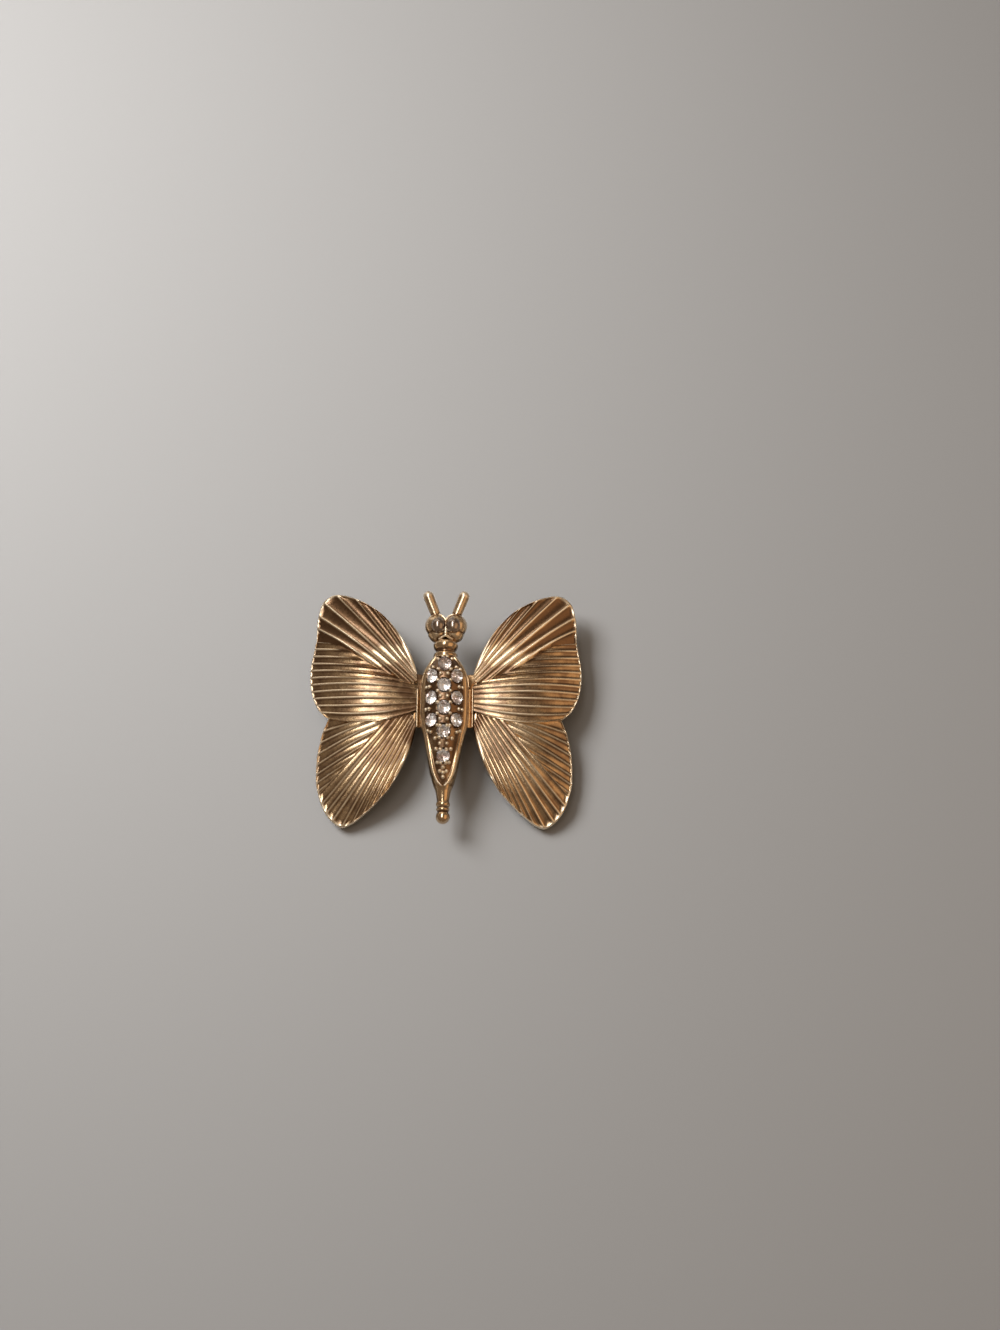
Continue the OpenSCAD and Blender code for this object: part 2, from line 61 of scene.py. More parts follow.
# Each rib of a fan: root x, root y, margin x, margin y, bow to the left of that line.
# drop: how far the fan lies below the wing's surface, first and last rib at the root, then at the margin.
# rim: width of the rolled rim, from the first rib to the last. fade: from the rim to the full flute.
# open: how clean the middle of a flute is. root and the fan's darkening: how dark the root is,
# and how dark the whole fan is, which on the upper forewing is painted shade.
# The band of painted highlight: where it rises, is full, falls and ends along a rib, and how bright it is.
# under: how many steps its underside lies lower. firstOpen, lastOpen: that rib is at the wing's margin.
wing = {
    "stepsPerFlute": 10,
    "stepsAlong": 54,
    "rimSteps": 5,
    "fluteShare": 0.13,     # depth as a share of the distance between two ribs
    "fluteMax": 0.34,
    "fluteFlat": 3.0,       # 2 is a round flute, more is a flatter one with steeper sides
    "ridgeSoft": 0.16,      # how round the ridges are
    "ridgeWidth": 0.13,     # the unit for the three ranges below, across a flute from its ridge
    "wearFades": (0.5, 1.3),
    "patinaRises": (0.6, 1.9),
    "patinaOpens": (1.9, 3.6),
    "crowd": 0.75,          # how far the steps crowd towards the ridges
    "rootDarkening": {-1: (0.15, 0.42), 1: (0.02, 0.2)},  # where it fades along a rib, on each side
    "rootDarkeningHides": 0.6,    # how much of the wear the root's darkening hides
    "highlightBandShows": 0.6,     # how pale a full band of painted highlight looks
    "noHighlightBand": (0, 1, 2, 3, 0),
    "underRim": 0.2,
    "underPatina": 0.25,
    "fans": {
        "upperFore": {
            "ribs": [
                (4.25, 6.2, 9.7, 15.0, 0.75),
                (4.25, 5.9, 11.3, 16.25, 0.2),
                (4.25, 5.4, 13.9, 17.7, 0),
                (4.25, 4.9, 16.9, 18.45, 0),
                (4.8, 4.6, 18.8, 17.35, 0),
                (6.4, 4.7, 19.45, 15.2, 0.3),
                (8.6, 5.2, 19.6, 13.25, 0.4),
                (9.8, 5.3, 19.6, 10.5, 0.3),
            ],
            "drop": (0, 0.4, 0, 0.45),
            "rim": (0.3, 0.42, 0.42, 0.16, 0.12),
            "fade": 0.3,
            "open": 0.0,
            # The whole upper fan is darker: painted shade
            "tarnishAndShade": 1.35,
            "highlightBand": (0.12, 0.26, 0.34, 0.5, 0.75),
            "under": 1,
            "firstOpen": True,
        },
        "lowerFore": {
            "ribs": [
                (16.3, 10.4, 19.6, 11.0, 0),
                (14.4, 9.3, 19.8, 9.9, 0),
                (12.6, 8.0, 20.0, 8.8, 0),
                (10.4, 6.7, 20.2, 7.7, 0),
                (7.6, 5.4, 20.3, 6.6, 0.1),
                (4.25, 4.1, 20.3, 5.5, 0.2),
                (4.25, 3.5, 20.2, 4.4, 0.2),
                (4.25, 2.8, 20.0, 3.3, 0.1),
                (4.25, 2.1, 19.7, 2.25, -0.1),
                (4.25, 1.4, 19.2, 1.15, -0.4),
                (4.25, 0.8, 18.5, 0.1, -0.8),
                (4.25, 0.2, 17.3, -0.95, -1.15),
            ],
            "drop": (0, 0, 0, 0),
            "rim": (0.14, 0.14, 0.14, 0.14, 0.16),
            "fade": 0.1,
            "open": 0.42,
            "root": 0.95,
            "under": 0,
            "lastOpen": True,
        },
        "outerHind": {
            "ribs": [
                (10.4, -0.6, 17.2, -0.9, 0),
                (9.9, -0.8, 18.0, -2.8, 0.1),
                (9.2, -0.9, 18.4, -4.5, 0.1),
                (8.8, -1.3, 18.7, -6.2, 0.1),
                (8.9, -2.3, 18.8, -7.8, 0.1),
                (9.8, -3.9, 18.8, -9.2, 0),
                (11.1, -5.7, 18.75, -10.5, 0),
                (12.7, -7.8, 18.5, -11.7, 0),
                (14.9, -10.3, 18.1, -12.8, 0),
            ],
            "drop": (0.5, 0.5, 0.45, 0.35),
            "rim": (0.14, 0.14, 0.14, 0.16, 0.2),
            "fade": 0.1,
            "open": 0.42,
            "highlightBand": (0.0, 0.1, 0.3, 0.6, 0.6),
            "under": 2,
        },
        "mainHind": {
            "ribs": [
                (7.4, 0.6, 18.35, -12.2, -0.3),
                (6.6, 0.5, 17.85, -13.7, -0.3),
                (6.0, 0.4, 17.15, -15.0, -0.3),
                (5.5, 0.2, 16.2, -16.1, -0.2),
                (5.1, -0.1, 14.8, -16.9, 0),
                (4.8, -0.5, 13.3, -16.4, 0),
                (4.6, -0.9, 11.9, -15.4, 0),
                (4.4, -1.3, 10.6, -14.3, -0.1),
                (4.3, -1.8, 9.4, -13.1, -0.3),
                (4.25, -2.35, 8.2, -11.8, -0.6),
            ],
            "drop": (0.35, 0.35, 0.15, 0),
            "rim": (0.2, 0.25, 0.3, 0.34, 0.36),
            "fade": 0.3,
            "open": 0.42,
            "highlightBand": (0.4, 0.55, 0.66, 0.8, 0.45),
            "root": 0.9,
            "under": 3,
            "lastOpen": True,
        },
    },
    "bridge": ((-5.4, -2, 1.0), (5.4, 6, 1.45)),
    "bridgeSlope": ((2.4, -2, 1.1), (4.7, 6, 1.5)),
    "bridgeRise": 0.65,     # of the slope towards the wing
    "bridgeBevel": 0.08,
}


# A value between b and c on a smooth curve through a, b, c and d
def smoothValue(a, b, c, d, t):
    return b + 0.5 * t * (c - a + t * (2 * a - 5 * b + 4 * c - d + t * (3 * (b - c) + d - a)))


# A row of a table at any place between its rows
def rowAt(rows, place):
    last = len(rows) - 1
    i = min(int(place), last - 1)
    near = (rows[max(i - 1, 0)], rows[i], rows[i + 1], rows[min(i + 2, last)])
    return [smoothValue(*column, place - i) for column in zip(*near)]


def easeStep(low, high, value):
    t = min(max((value - low) / (high - low), 0), 1)
    return t * t * (3 - 2 * t)


# How far a rounded edge lies below its flat, at a distance from the edge
def edgeDrop(distance, radius):
    if distance >= radius:
        return 0
    return radius - math.sqrt(radius * radius - (radius - max(distance, 0)) ** 2)


def wingBase(x, y):
    if x > plane["crest"]:
        across = 1 - ((x - plane["crest"]) / (plane["span"] / 2 - plane["crest"])) ** 2
    else:
        across = 1 - plane["rootFall"] * ((plane["crest"] - x) / (plane["crest"] - plane["root"])) ** 2
    foreStart, foreLength = plane["foreFold"]
    hindStart, hindLength = plane["hindFold"]
    fore = (max(y - foreStart, 0) / foreLength) ** 2
    hind = (max(hindStart - y, 0) / hindLength) ** 2
    return plane["thick"] + plane["rise"] * max(across, 0) * max(1 - fore - hind, 0)


def ribPoint(rib, v):
    start, end = Vector(rib[0:2]), Vector(rib[2:4])
    run = end - start
    side = Vector((-run.y, run.x)).normalized()
    return start + run * v + side * rib[4] * 4 * v * (1 - v)


# The matrix from the brooch's own plane to how it lies on the table, in metres: on the tips of its
# hindwings, with the middle of its outline at the origin
def restingPlace():
    tilt = math.radians(plane["tilt"])
    hind, fore = wing["fans"]["mainHind"], wing["fans"]["upperFore"]
    foot, tip = hind["ribs"][4], fore["ribs"][3]
    footTop = wingBase(foot[2], foot[3])
    footZ = footTop - plane["thick"] - hind["under"] * plane["underStep"]
    tipZ = wingBase(tip[2], tip[3]) - plane["thick"] - fore["under"] * plane["underStep"]
    lift = -foot[3] * math.sin(tilt) - footZ * math.cos(tilt)
    middle = ((tip[3] + foot[3]) * math.cos(tilt) - (tipZ + footTop) * math.sin(tilt)) / 2
    place = Matrix.Translation((0, -middle, lift)) @ Matrix.Rotation(tilt, 4, "X")
    return Matrix.Scale(mm, 4) @ place


laidDown = restingPlace()


def newObject(name, mesh):
    thing = bpy.data.objects.new(name, mesh)
    scene.collection.objects.link(thing)
    return thing


def meshFrom(name, bm):
    mesh = bpy.data.meshes.new(name)
    bm.to_mesh(mesh)
    bm.free()
    return mesh


# Joins closed shapes into one closed skin
def weld(name, shapes, remesh=0, smoothing=0):
    first = shapes[0]
    for other in shapes[1:]:
        join = first.modifiers.new("join", "BOOLEAN")
        join.operation = "UNION"
        join.solver = "MANIFOLD"
        join.object = other
    if remesh:
        skin = first.modifiers.new("skin", "REMESH")
        skin.mode = "VOXEL"
        skin.voxel_size = remesh
    if smoothing:
        relax = first.modifiers.new("relax", "SMOOTH")
        relax.factor = 0.5
        relax.iterations = smoothing
    ready = first.evaluated_get(bpy.context.evaluated_depsgraph_get())
    mesh = bpy.data.meshes.new_from_object(ready)
    for shape in shapes:
        bpy.data.objects.remove(shape)
    return newObject(name, mesh)


# Moves a finished shape from the brooch's plane to the table, gives it its material and hides the CAD
# solids it replaces
def settle(thing, material, slot, *replaced, sharp=40):
    mesh = thing.data
    mesh.transform(laidDown)
    mesh.materials.clear()
    mesh.materials.append(material)
    mesh.polygons.foreach_set("use_smooth", [True] * len(mesh.polygons))
    mesh.set_sharp_from_angle(angle=math.radians(sharp))
    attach(thing, "root")
    if replaced:
        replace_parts(thing, *replaced)
    return thing


# Materials

metal = {
    "gold": (0.62, 0.44, 0.25),
    "paleGold": (0.95, 0.83, 0.64),
    "copper": (0.5, 0.3, 0.15),
    # The dark of patina, also used for painted shade
    "tarnishAndShade": (0.135, 0.068, 0.034),
    "roughness": 0.2,
    "tarnishRoughness": 0.3,
    "wornRoughness": 0.36,
    "coatRoughness": 0.16,
    "coatOnTarnish": 0.25,  # share of the lacquer that is left where the metal is dark
    "cloudSize": 2.6,       # of the uneven tarnish, in millimetres
    "speckSize": 0.35,
    "grainSize": 0.13,
    "darkeningShare": 0.9,
    "bump": 0.5,
    # Ranges of what is mapped, and what they are mapped to
    "blotches": (0.3, 0.7, 0.55, 1.25),
    "darkening": (0.1, 0.95, 0, 1),
    "coppering": (0.35, 0.75, 0, 0.35),
    "paling": (0.2, 1, 0, 0.85),
    "coating": (0.2, 1),
    "shining": (0.3, 0.7, 0.8, 1.3),  # the last two as shares of the roughness
}


def startMaterial(name):
    material = bpy.data.materials.new(name)
    material.use_nodes = True
    nodes = material.node_tree.nodes
    return material, nodes, material.node_tree.links, nodes["Principled BSDF"]


def addNode(nodes, kind, **values):
    made = nodes.new(kind)
    for key, value in values.items():
        setattr(made, key, value)
    return made


# Noise on Object coordinates, with cells of about this size in millimetres
def noiseOn(nodes, links, size, detail=3, roughness=0.55):
    where = nodes.new("ShaderNodeTexCoord")
    mapping = nodes.new("ShaderNodeMapping")
    mapping.inputs["Scale"].default_value = [1 / (size * mm)] * 3
    grain = nodes.new("ShaderNodeTexNoise")
    grain.inputs["Scale"].default_value = 1
    grain.inputs["Detail"].default_value = detail
    grain.inputs["Roughness"].default_value = roughness
    links.new(where.outputs["Object"], mapping.inputs["Vector"])
    links.new(mapping.outputs["Vector"], grain.inputs["Vector"])
    return grain.outputs["Fac"]


def mapped(nodes, links, source, fromLow, fromHigh, toLow, toHigh):
    made = addNode(nodes, "ShaderNodeMapRange", interpolation_type="SMOOTHSTEP")
    made.inputs["From Min"].default_value = fromLow
    made.inputs["From Max"].default_value = fromHigh
    made.inputs["To Min"].default_value = toLow
    made.inputs["To Max"].default_value = toHigh
    links.new(source, made.inputs["Value"])
    return made.outputs["Result"]


def combined(nodes, links, operation, a, b):
    made = addNode(nodes, "ShaderNodeMath", operation=operation)
    for socket, value in zip(made.inputs, (a, b)):
        if isinstance(value, (int, float)):
            socket.default_value = value
        else:
            links.new(value, socket)
    return made.outputs["Value"]


def mixColour(nodes, links, factor, a, b):
    made = addNode(nodes, "ShaderNodeMix", data_type="RGBA")
    links.new(factor, made.inputs["Factor"])
    for socket, value in ((made.inputs[6], a), (made.inputs[7], b)):
        if isinstance(value, tuple):
            socket.default_value = (*value, 1)
        else:
            links.new(value, socket)
    return made.outputs[2]


# Antiqued gold plate: dark where its darkening attribute is high, which is patina and in places painted
# shade;
# pale where its paling attribute is high, which is wear and in places painted highlight.
# grit is the height of its fine grain in millimetres.
def antiqueGold(name, roughness=metal["roughness"], grit=0.01, lacquer=0.7, lacquerIor=1.8):
    material, nodes, links, shader = startMaterial(name)
    patina = addNode(nodes, "ShaderNodeAttribute", attribute_name="patina").outputs["Fac"]
    worn = addNode(nodes, "ShaderNodeAttribute", attribute_name="worn").outputs["Fac"]
    cloud = noiseOn(nodes, links, metal["cloudSize"])
    speck = noiseOn(nodes, links, metal["speckSize"])
    blotch = combined(nodes, links, "MULTIPLY", patina, mapped(nodes, links, cloud, *metal["blotches"]))
    dark = mapped(nodes, links, blotch, *metal["darkening"])
    coppery = mapped(nodes, links, speck, *metal["coppering"])
    warm = mixColour(nodes, links, coppery, metal["gold"], metal["copper"])
    pale = mapped(nodes, links, worn, *metal["paling"])
    brightMetal = mixColour(nodes, links, pale, warm, metal["paleGold"])
    darkened = combined(nodes, links, "MULTIPLY", dark, metal["darkeningShare"])
    links.new(mixColour(nodes, links, darkened, brightMetal, metal["tarnishAndShade"]), shader.inputs["Base Color"])
    shader.inputs["Metallic"].default_value = 1
    coat = mapped(nodes, links, patina, *metal["coating"], lacquer, lacquer * metal["coatOnTarnish"])
    links.new(coat, shader.inputs["Coat Weight"])
    shader.inputs["Coat IOR"].default_value = lacquerIor
    shader.inputs["Coat Roughness"].default_value = metal["coatRoughness"]
    low, high, smooth, coarse = metal["shining"]
    shine = mapped(nodes, links, speck, low, high, roughness * smooth, roughness * coarse)
    dull = combined(nodes, links, "MULTIPLY", dark, metal["tarnishRoughness"] - roughness)
    brushed = combined(nodes, links, "MULTIPLY", worn, metal["wornRoughness"] - roughness)
    rough = combined(nodes, links, "ADD", combined(nodes, links, "ADD", shine, dull), brushed)
    links.new(rough, shader.inputs["Roughness"])
    bump = nodes.new("ShaderNodeBump")
    bump.inputs["Strength"].default_value = metal["bump"]
    bump.inputs["Distance"].default_value = grit * mm
    links.new(noiseOn(nodes, links, metal["grainSize"], detail=2), bump.inputs["Height"])
    links.new(bump.outputs["Normal"], shader.inputs["Normal"])
    return material


wingGold = antiqueGold("wingGold")
bodyGold = antiqueGold("bodyGold", grit=0.008)
eyeGold = antiqueGold("eyeGold", roughness=0.24, grit=0.003, lacquer=3, lacquerIor=2.7)
print("metals mixed")


# Wings

# How far along its rib a step lies: even to the rim, then following the rim's round
def ribShare(step, rimShare):
    plain = wing["stepsAlong"] - wing["rimSteps"]
    if step <= plain:
        return step / plain * (1 - rimShare)
    return 1 - rimShare * (1 - math.sin(math.pi / 2 * (step - plain) / wing["rimSteps"]))


# How dark and how pale the metal is: patina and wear, with painted highlight bands and, on the
# upper forewing, painted shade. ridge is the distance from the nearest ridge in ridge widths, v runs
# along the rib, and fade is 0 at the margin.
def fanFinish(fan, ridge, v, fade, side):
    worn = max(1 - easeStep(*wing["wearFades"], ridge), 1 - fade)
    patina = easeStep(*wing["patinaRises"], ridge) * fade
    patina *= 1 - fan["open"] * easeStep(*wing["patinaOpens"], ridge)
    darkened = fan.get("root", 0) * (1 - easeStep(*wing["rootDarkening"][side], v))
    # A band of painted highlight: paler, and clear of darkening, along part of each rib
    start, full, fall, end, brightMetal = fan.get("highlightBand", wing["noHighlightBand"])
    brightMetal *= easeStep(start, full, v) * (1 - easeStep(fall, end, v))
    # The fan's own darkening, painted shade on the upper forewing
    patina = max(patina * (1 - brightMetal), darkened) * fan.get("tarnishAndShade", 1)
    return patina, max(worn * (1 - wing["rootDarkeningHides"] * darkened), brightMetal * wing["highlightBandShows"])


# Where a point of the fan lies and how dark and pale it is: u counts the ribs, step runs along them
def fanPoint(fan, u, step, below, side):
    ribs = fan["ribs"]
    i = min(int(u), len(ribs) - 2)
    s = u - i
    t = s - wing["crowd"] * math.sin(2 * math.pi * s) / (2 * math.pi)
    rib = rowAt(ribs, i + t)
    length = (Vector(rib[2:4]) - Vector(rib[0:2])).length
    share = (i + t) / (len(ribs) - 1)
    rim = rowAt([(width,) for width in fan["rim"]], share * (len(fan["rim"]) - 1))[0]
    v = ribShare(step, rim / length)
    point = ribPoint(rib, v)
    point.x = min(point.x, plane["span"] / 2)
    edge = (1 - v) * length
    for border, margin in (("firstOpen", ribs[0]), ("lastOpen", ribs[-1])):
        if fan.get(border):
            edge = min(edge, (point - ribPoint(margin, v)).length)
    base = wingBase(point.x, point.y)
    if below:
        under = plane["thick"] + fan["under"] * plane["underStep"]
        return (point.x, point.y, base - under + edgeDrop(edge, wing["underRim"])), wing["underPatina"], 0
    apart = (ribPoint(ribs[i], v) - ribPoint(ribs[i + 1], v)).length
    soft = wing["ridgeSoft"]
    bowl = 1 - abs(2 * t - 1) ** wing["fluteFlat"]
    groove = (math.hypot(bowl, soft) - soft) / (math.hypot(1, soft) - soft)
    fade = easeStep(rim / 2, rim + fan["fade"], edge)
    depth = min(wing["fluteMax"], wing["fluteShare"] * apart) * groove * fade
    a, b, c, d = fan["drop"]
    drop = (a * (1 - share) + b * share) * (1 - v) + (c * (1 - share) + d * share) * v
    z = base - drop - depth - edgeDrop(edge, rim)
    ridge = min(t, 1 - t) * apart / wing["ridgeWidth"]
    return (point.x, point.y, z), *fanFinish(fan, ridge, v, fade, side)


def fanShape(name, fan, side):
    bm = bmesh.new()
    patina = bm.verts.layers.float.new("patina")
    worn = bm.verts.layers.float.new("worn")
    across = (len(fan["ribs"]) - 1) * wing["stepsPerFlute"]
    bmesh.ops.create_grid(bm, x_segments=across, y_segments=wing["stepsAlong"], size=0.5)
    made = bmesh.ops.extrude_face_region(bm, geom=bm.faces[:])
    low = [v for v in made["geom"] if isinstance(v, bmesh.types.BMVert)]
    bmesh.ops.translate(bm, verts=low, vec=(0, 0, -1))
    for v in bm.verts:
        u = round((v.co.x + 0.5) * across) / wing["stepsPerFlute"]
        step = round((v.co.y + 0.5) * wing["stepsAlong"])
        v.co, v[patina], v[worn] = fanPoint(fan, u, step, v.co.z < -0.5, side)
        v.co.x *= side
    bmesh.ops.recalc_face_normals(bm, faces=bm.faces[:])
    return newObject(name, meshFrom(name, bm))


# Gives a whole shape one value of darkening or paling, for patina and wear, and on some parts painted
# shade and painted highlight
def markAll(bm, marks):
    for mark, value in marks.items():
        layer = bm.verts.layers.float.new(mark)
        for v in bm.verts:
            v[layer] = value


def boxShape(name, low, high, bevel=0.1, segments=2, **marks):
    bm = bmesh.new()
    bmesh.ops.create_cube(bm, size=1)
    size = Vector(high) - Vector(low)
    bmesh.ops.scale(bm, vec=size, verts=bm.verts[:])
    bmesh.ops.translate(bm, vec=Vector(low) + size / 2, verts=bm.verts[:])
    bmesh.ops.bevel(bm, geom=bm.edges[:], offset=bevel, affect="EDGES", segments=segments, profile=0.5,
                    material=-1)
    markAll(bm, marks)
    return newObject(name, meshFrom(name, bm))


# A box on one side of the brooch, with a top that falls towards its outer edge
def slopedBox(name, corners, side, bevel, fall, **marks):
    low, high = corners
    shape = boxShape(name, low, high, bevel=bevel, segments=4, **marks)
    for v in shape.data.vertices:
        outward = (v.co.x - low[0]) / (high[0] - low[0])
        upward = (v.co.z - low[2]) / (high[2] - low[2])
        v.co.z -= fall * outward * upward
        v.co.x *= side
    if side < 0:
        shape.data.flip_normals()
    return shape


def buildWings():
    # The bridge and its slopes are darkened all over: painted shade for the recess between the wings and
    # the body
    shapes = [boxShape("bridge", *wing["bridge"], patina=1)]
    for side in (1, -1):
        shapes.append(slopedBox("bridgeSlope", wing["bridgeSlope"], side, wing["bridgeBevel"],
                                -wing["bridgeRise"], patina=1))
        for name, fan in wing["fans"].items():
            shapes.append(fanShape(name, fan, side))
    casting = weld("wingCasting", shapes)
    return settle(casting, wingGold, "wing_gold", "wings")


wings = buildWings()
print("wings cast:", len(wings.data.polygons), "faces")


# Body

# Sections: y, radius, half width of the sunk field. Rings: y, radius.
body = {
    "sections": [
        (8.1, 1.85, 1.45), (7.2, 2.45, 2.12), (6.1, 3.02, 2.7), (4.9, 3.4, 3.08), (3.2, 3.54, 3.22),
        (1.2, 3.56, 3.25), (-0.8, 3.52, 3.22), (-2.3, 3.4, 3.1), (-3.6, 3.05, 2.72), (-5.7, 2.62, 2.25),
        (-8.3, 2.2, 1.68), (-9.5, 1.94, 1.3), (-10.6, 1.62, 0.72), (-11.3, 1.38, 0.05),
    ],
    "collar": [
        (11.0, 0.9), (10.7, 1.4), (10.45, 1.7), (10.0, 1.85), (9.55, 1.75), (9.2, 1.5), (8.95, 1.48),
        (8.7, 1.72), (8.4, 1.8),
    ],
    "tail": [
        (-11.9, 1.14), (-12.8, 0.96), (-13.4, 0.88), (-13.55, 0.98), (-13.8, 1.04), (-14.05, 0.96),
        (-14.2, 0.84), (-14.35, 0.94), (-14.55, 0.98), (-14.75, 0.86), (-14.9, 0.8),
    ],
    "tailBall": (-15.6, 1.02),
    "turns": 160,
    "rowStep": 0.12,
    "evenRows": (-11.2, 8),  # the rows are twice as close outside this stretch
    "endCap": 0.05,
    "fieldDepth": 0.35,
    "wallWidth": 0.22,
    "lipHeight": 0.07,
    "lipWidth": 0.16,
    "wellDepth": 0.72,
    "wellRadius": 1.12,
    "wellWall": 0.16,
    "wellReach": 1.5,       # how far under a stone its well is looked for
    "slopeReach": 0.3,      # on both sides of a place, to find the body's slope there
    "sidePatina": 0.6,
    "sideFade": (0.2, 1.0),  # outside the field's edge
    "groovePatina": 0.9,
    "collarGroove": (1.72, 1.5),  # radii, from clean to tarnished
    "tailGroove": (0.96, 0.84),
    "tailRings": -13,       # they lie past this y
    "flange": ((2.9, -2.3, 2.26), (4.18, 3.5, 3.3)),
    "flangeFall": 0.6,      # of its top towards its outer edge
    "flangeBevel": 0.05,
    "flangeRidge": ((3.98, -2.3, 2.5), (4.18, 3.5, 3.3)),
    "ridgeBevel": 0.09,
    "ridgeWorn": 0.6,
}

stones = {
    "middle": [6.7, 3.25, -0.1, -3.5, -7.0],
    "side": [4.75, 1.45, -1.85],
    "sideAngle": 35,
    "sunk": 0.2,            # of the girdle below the body's full surface
    "lean": 0.35,           # as a share of the body's own slope
}


# A column of a table with falling keys, on a smooth curve
def lookUp(rows, key, column):
    for i in range(len(rows) - 1):
        if rows[i + 1][0] <= key:
            break
    t = (rows[i][0] - key) / (rows[i][0] - rows[i + 1][0])
    return rowAt(rows, i + min(max(t, 0), 1))[column]


def bodyRadius(y):
    return lookUp(body["sections"], y, 1)


# The place of something on the body's surface, at y and at an angle from the crest
def onBody(y, angle, sunk, lean=0):
    reach = body["slopeReach"]
    slope = (bodyRadius(y + reach) - bodyRadius(y - reach)) / (2 * reach)
    place = Matrix.Translation((0, y, plane["axisZ"])) @ Matrix.Rotation(math.radians(angle), 4, "Y")
    place = place @ Matrix.Translation((0, 0, bodyRadius(y) - sunk))
    return place @ Matrix.Rotation(math.atan(-slope) * lean, 4, "X")


def stonePlaces():
    seats = [(y, 0) for y in stones["middle"]]
    seats += [(y, stones["sideAngle"]) for y in stones["side"]]
    seats += [(y, -stones["sideAngle"]) for y in stones["side"]]
    return [onBody(y, angle, stones["sunk"], stones["lean"]) for y, angle in seats]


seats = stonePlaces()


# The turned profile from the collar to the tail, as y and radius
def bodyProfile():
    rows = [r[0:2] for r in body["collar"] + body["sections"] + body["tail"]]
    y, end = rows[0][0], rows[-1][0]
    points = [(y + body["endCap"], 0.0)]
    low, high = body["evenRows"]
    while y > end:
        points.append((y, lookUp(rows, y, 1)))
        y -= body["rowStep"] if low < y < high else body["rowStep"] / 2
    return points + [(end, 0.0)]


# How far the surface is sunk in the field, raised at its lip and sunk in the wells of the stones
def fieldDepth(point):
    y, x = point.y, abs(point.x)
    inside = lookUp(body["sections"], y, 2) - x
    inside = min(inside, body["sections"][0][0] - y)
    sunk = body["fieldDepth"] * easeStep(0, body["wallWidth"], inside)
    lip = body["lipHeight"] * math.exp(-((inside + body["lipWidth"]) / body["lipWidth"]) ** 2)
    well = 0
    floorRadius = body["wellRadius"] - body["wellWall"]
    for seat in seats:
        near = seat.inverted() @ point
        if near.z > -body["wellReach"]:
            reach = math.hypot(near.x, near.y)
            well = max(well, 1 - easeStep(floorRadius, body["wellRadius"], reach))
    return sunk, lip, well * body["wellDepth"]


def spindleShape():
    bm = bmesh.new()
    patina = bm.verts.layers.float.new("patina")
    worn = bm.verts.layers.float.new("worn")
    axis = Vector((0, 0, plane["axisZ"]))
    line = [bm.verts.new((radius, y, plane["axisZ"])) for y, radius in bodyProfile()]
    edges = [bm.edges.new(pair) for pair in zip(line, line[1:])]
    bmesh.ops.spin(bm, geom=line + edges, cent=axis, axis=(0, 1, 0), angle=2 * math.pi,
                   steps=body["turns"], use_merge=True)
    bmesh.ops.remove_doubles(bm, verts=bm.verts[:], dist=0.001)
    first, last = body["sections"][0][0], body["sections"][-1][0]
    for v in bm.verts:
        centre = Vector((0, v.co.y, plane["axisZ"]))
        spoke = v.co - centre
        if spoke.z > 0 and last < v.co.y < first:
            sunk, lip, well = fieldDepth(v.co)
            v.co = centre + spoke.normalized() * (spoke.length - sunk + lip - well)
            beside = easeStep(*body["sideFade"], abs(v.co.x) - lookUp(body["sections"], v.co.y, 2))
            # In the wells the darkening is painted shade, the dark rings around the stones; on the sunk
            # field and beside it, patina
            v[patina] = min(max(sunk / body["fieldDepth"], beside * body["sidePatina"]) + well, 1)
            v[worn] = lip / body["lipHeight"]
        elif v.co.y > first:
            v[patina] = body["groovePatina"] * easeStep(*body["collarGroove"], spoke.length)
        elif v.co.y < body["tailRings"]:
            v[patina] = body["groovePatina"] * easeStep(*body["tailGroove"], spoke.length)
    bmesh.ops.recalc_face_normals(bm, faces=bm.faces[:])
    floor = (0, 0, plane["bodyFloor"])
    cut = bmesh.ops.bisect_plane(bm, geom=bm.verts[:] + bm.edges[:] + bm.faces[:], plane_co=floor,
                                 plane_no=(0, 0, -1), clear_outer=True)
    rim = [e for e in cut["geom_cut"] if isinstance(e, bmesh.types.BMEdge)]
    bmesh.ops.holes_fill(bm, edges=rim)
    return newObject("spindle", meshFrom("spindle", bm))


def ballShape(name, centre, radius, segments=48, rings=32, **marks):
    bm = bmesh.new()
    bmesh.ops.create_uvsphere(bm, u_segments=segments, v_segments=rings, radius=radius)
    bmesh.ops.translate(bm, vec=centre, verts=bm.verts[:])
    markAll(bm, marks)
    return newObject(name, meshFrom(name, bm))


# A rod with round ends, from one point to another
def rodShape(name, start, end, startRadius, endRadius, segments=40):
    start, end = Vector(start), Vector(end)
    run = end - start
    bm = bmesh.new()
    bmesh.ops.create_uvsphere(bm, u_segments=segments, v_segments=24, radius=1)
    for v in bm.verts:
        radius = endRadius if v.co.z > 0 else startRadius
        v.co = v.co * radius + Vector((0, 0, run.length if v.co.z > 0 else 0))
    turn = run.to_track_quat("Z", "Y").to_matrix().to_4x4()
    bmesh.ops.transform(bm, matrix=Matrix.Translation(start) @ turn, verts=bm.verts[:])
    return newObject(name, meshFrom(name, bm))


